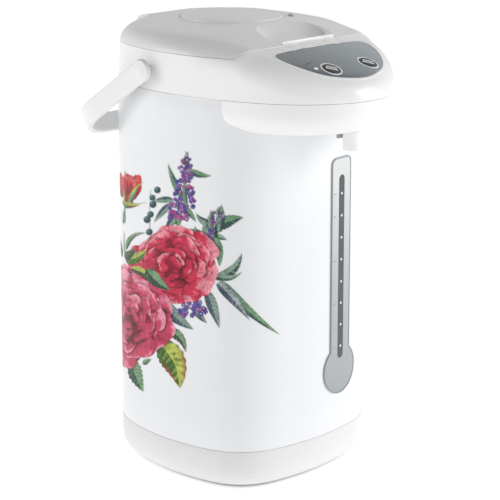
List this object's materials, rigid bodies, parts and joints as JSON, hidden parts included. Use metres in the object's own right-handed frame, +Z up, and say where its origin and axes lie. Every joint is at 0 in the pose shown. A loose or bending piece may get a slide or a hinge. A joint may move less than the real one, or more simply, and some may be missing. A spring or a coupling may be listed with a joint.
{
  "type": "electric pump pot",
  "caption": "Rounded-square vacuum-style electric hot water pot with a beaked head, domed hinged lid, round hand pump, control panel, level gauge, pouring nozzle and swinging carry handle.",
  "frame": {"origin": "on the pot axis at the underside of the swivel plate, the surface it stands on", "axes": "+Z up, the front with the beak, nozzle and gauge towards -Y, +X to the right as seen from the front"},
  "size_m": [0.2102, 0.2592, 0.3859],
  "materials": {
    "white_plastic": "glossy moulded",
    "panel_grey": "semi-gloss",
    "grey_plastic": "fine satin",
    "dark_plastic": "satin",
    "gauge_grey": "printed, semi-gloss",
    "gauge_window": "smoked, glossy",
    "painted_steel": "gloss paint with a printed floral pattern",
    "stainless": "brushed",
    "aluminium": "cast",
    "mica": "woven and mica band",
    "circuit": "solder mask",
    "pump_plastic": "satin",
    "silicone": "matt translucent",
    "black_rubber": "matt",
    "tube_glass": "clear",
    "brass": "plated"
  },
  "bodies": {
    "swivel_base": {"swivel_plate": "white_plastic", "rubber_foot_1": "black_rubber", "rubber_foot_2": "black_rubber", "rubber_foot_3": "black_rubber", "rubber_foot_4": "black_rubber"},
    "impeller": {"pump_impeller": "pump_plastic"},
    "lid": {"lid_shell": "white_plastic", "lid_liner": "pump_plastic", "lid_gasket": "silicone", "bellows": "silicone", "pump_spring": "stainless"},
    "latch": {"lid_latch": "white_plastic"},
    "pump_cap": {"pump_disc": "white_plastic"},
    "lock": {"pump_lock": "dark_plastic"},
    "button_left": {"button_left": "dark_plastic"},
    "button_right": {"button_right": "dark_plastic"},
    "lever": {"cup_lever": "grey_plastic"},
    "handle": {"carry_handle": "white_plastic"},
    "pot": {"base_ring": "white_plastic", "bottom_cover": "grey_plastic", "bottom_screw_1": "stainless", "bottom_screw_2": "stainless", "bottom_screw_3": "stainless", "bottom_screw_4": "stainless", "power_inlet": "dark_plastic", "inlet_pin_left": "brass", "inlet_pin_right": "brass", "outer_jacket": "painted_steel", "inner_pot": "stainless", "heater_plate": "aluminium", "thermostat": "dark_plastic", "thermal_cutout": "pump_plastic", "band_heater": "mica", "pump_housing": "pump_plastic", "pump_motor": "stainless", "pump_inlet_tube": "silicone", "pump_outlet_hose": "silicone", "power_board": "circuit", "sight_tube": "tube_glass", "gauge_plate": "gauge_grey", "gauge_window": "gauge_window", "head_collar": "white_plastic", "hinge_pin": "stainless", "beak_lower": "white_plastic", "nozzle": "white_plastic", "outlet_pipe": "silicone", "lever_switch": "dark_plastic", "control_panel": "panel_grey", "led_lens": "white_plastic", "control_board": "circuit", "switch_left": "dark_plastic", "switch_right": "dark_plastic", "handle_pin_left": "white_plastic", "handle_pin_right": "white_plastic"}
  },
  "joints": [
    {"name": "swivel", "type": "hinge", "parent": "swivel_base", "child": "pot", "pos_m": [0, 0, 0], "axis": [0, 0, 1], "continuous": true},
    {"name": "impeller_spin", "type": "hinge", "parent": "pot", "child": "impeller", "pos_m": [0.04, -0.045, 0.02], "axis": [0, 0, 1], "continuous": true},
    {"name": "lid_hinge", "type": "hinge", "parent": "pot", "child": "lid", "pos_m": [0, 0.096, 0.366], "axis": [-1, 0, 0], "range_deg": [0, 95]},
    {"name": "latch_slide", "type": "slide", "parent": "lid", "child": "latch", "axis": [0, 1, 0], "range_m": [0, 0.003], "stiffness_N_per_m": 500, "springref_m": -0.002},
    {"name": "pump_stroke", "type": "slide", "parent": "lid", "child": "pump_cap", "axis": [0, 0, -1], "range_m": [0, 0.018], "stiffness_N_per_m": 500, "springref_m": -0.012, "deforming": ["bellows", "pump_spring"]},
    {"name": "lock_slide", "type": "slide", "parent": "lid", "child": "lock", "axis": [0.6561, 0.7547, 0], "range_m": [0, 0.006]},
    {"name": "button_left_press", "type": "slide", "parent": "pot", "child": "button_left", "axis": [0, 0.3584, -0.9336], "range_m": [0, 0.0012], "stiffness_N_per_m": 800, "springref_m": -0.0006},
    {"name": "button_right_press", "type": "slide", "parent": "pot", "child": "button_right", "axis": [0, 0.3584, -0.9336], "range_m": [0, 0.0012], "stiffness_N_per_m": 800, "springref_m": -0.0006},
    {"name": "lever_push", "type": "hinge", "parent": "pot", "child": "lever", "pos_m": [0, -0.113, 0.3094], "axis": [1, 0, 0], "range_deg": [0, 8], "stiffness_Nm_per_rad": 0.05, "springref_deg": -4.58},
    {"name": "handle_swing", "type": "hinge", "parent": "pot", "child": "handle", "pos_m": [0, 0.013, 0.3465], "axis": [1, 0, 0], "range_deg": [0, 195]}
  ]
}
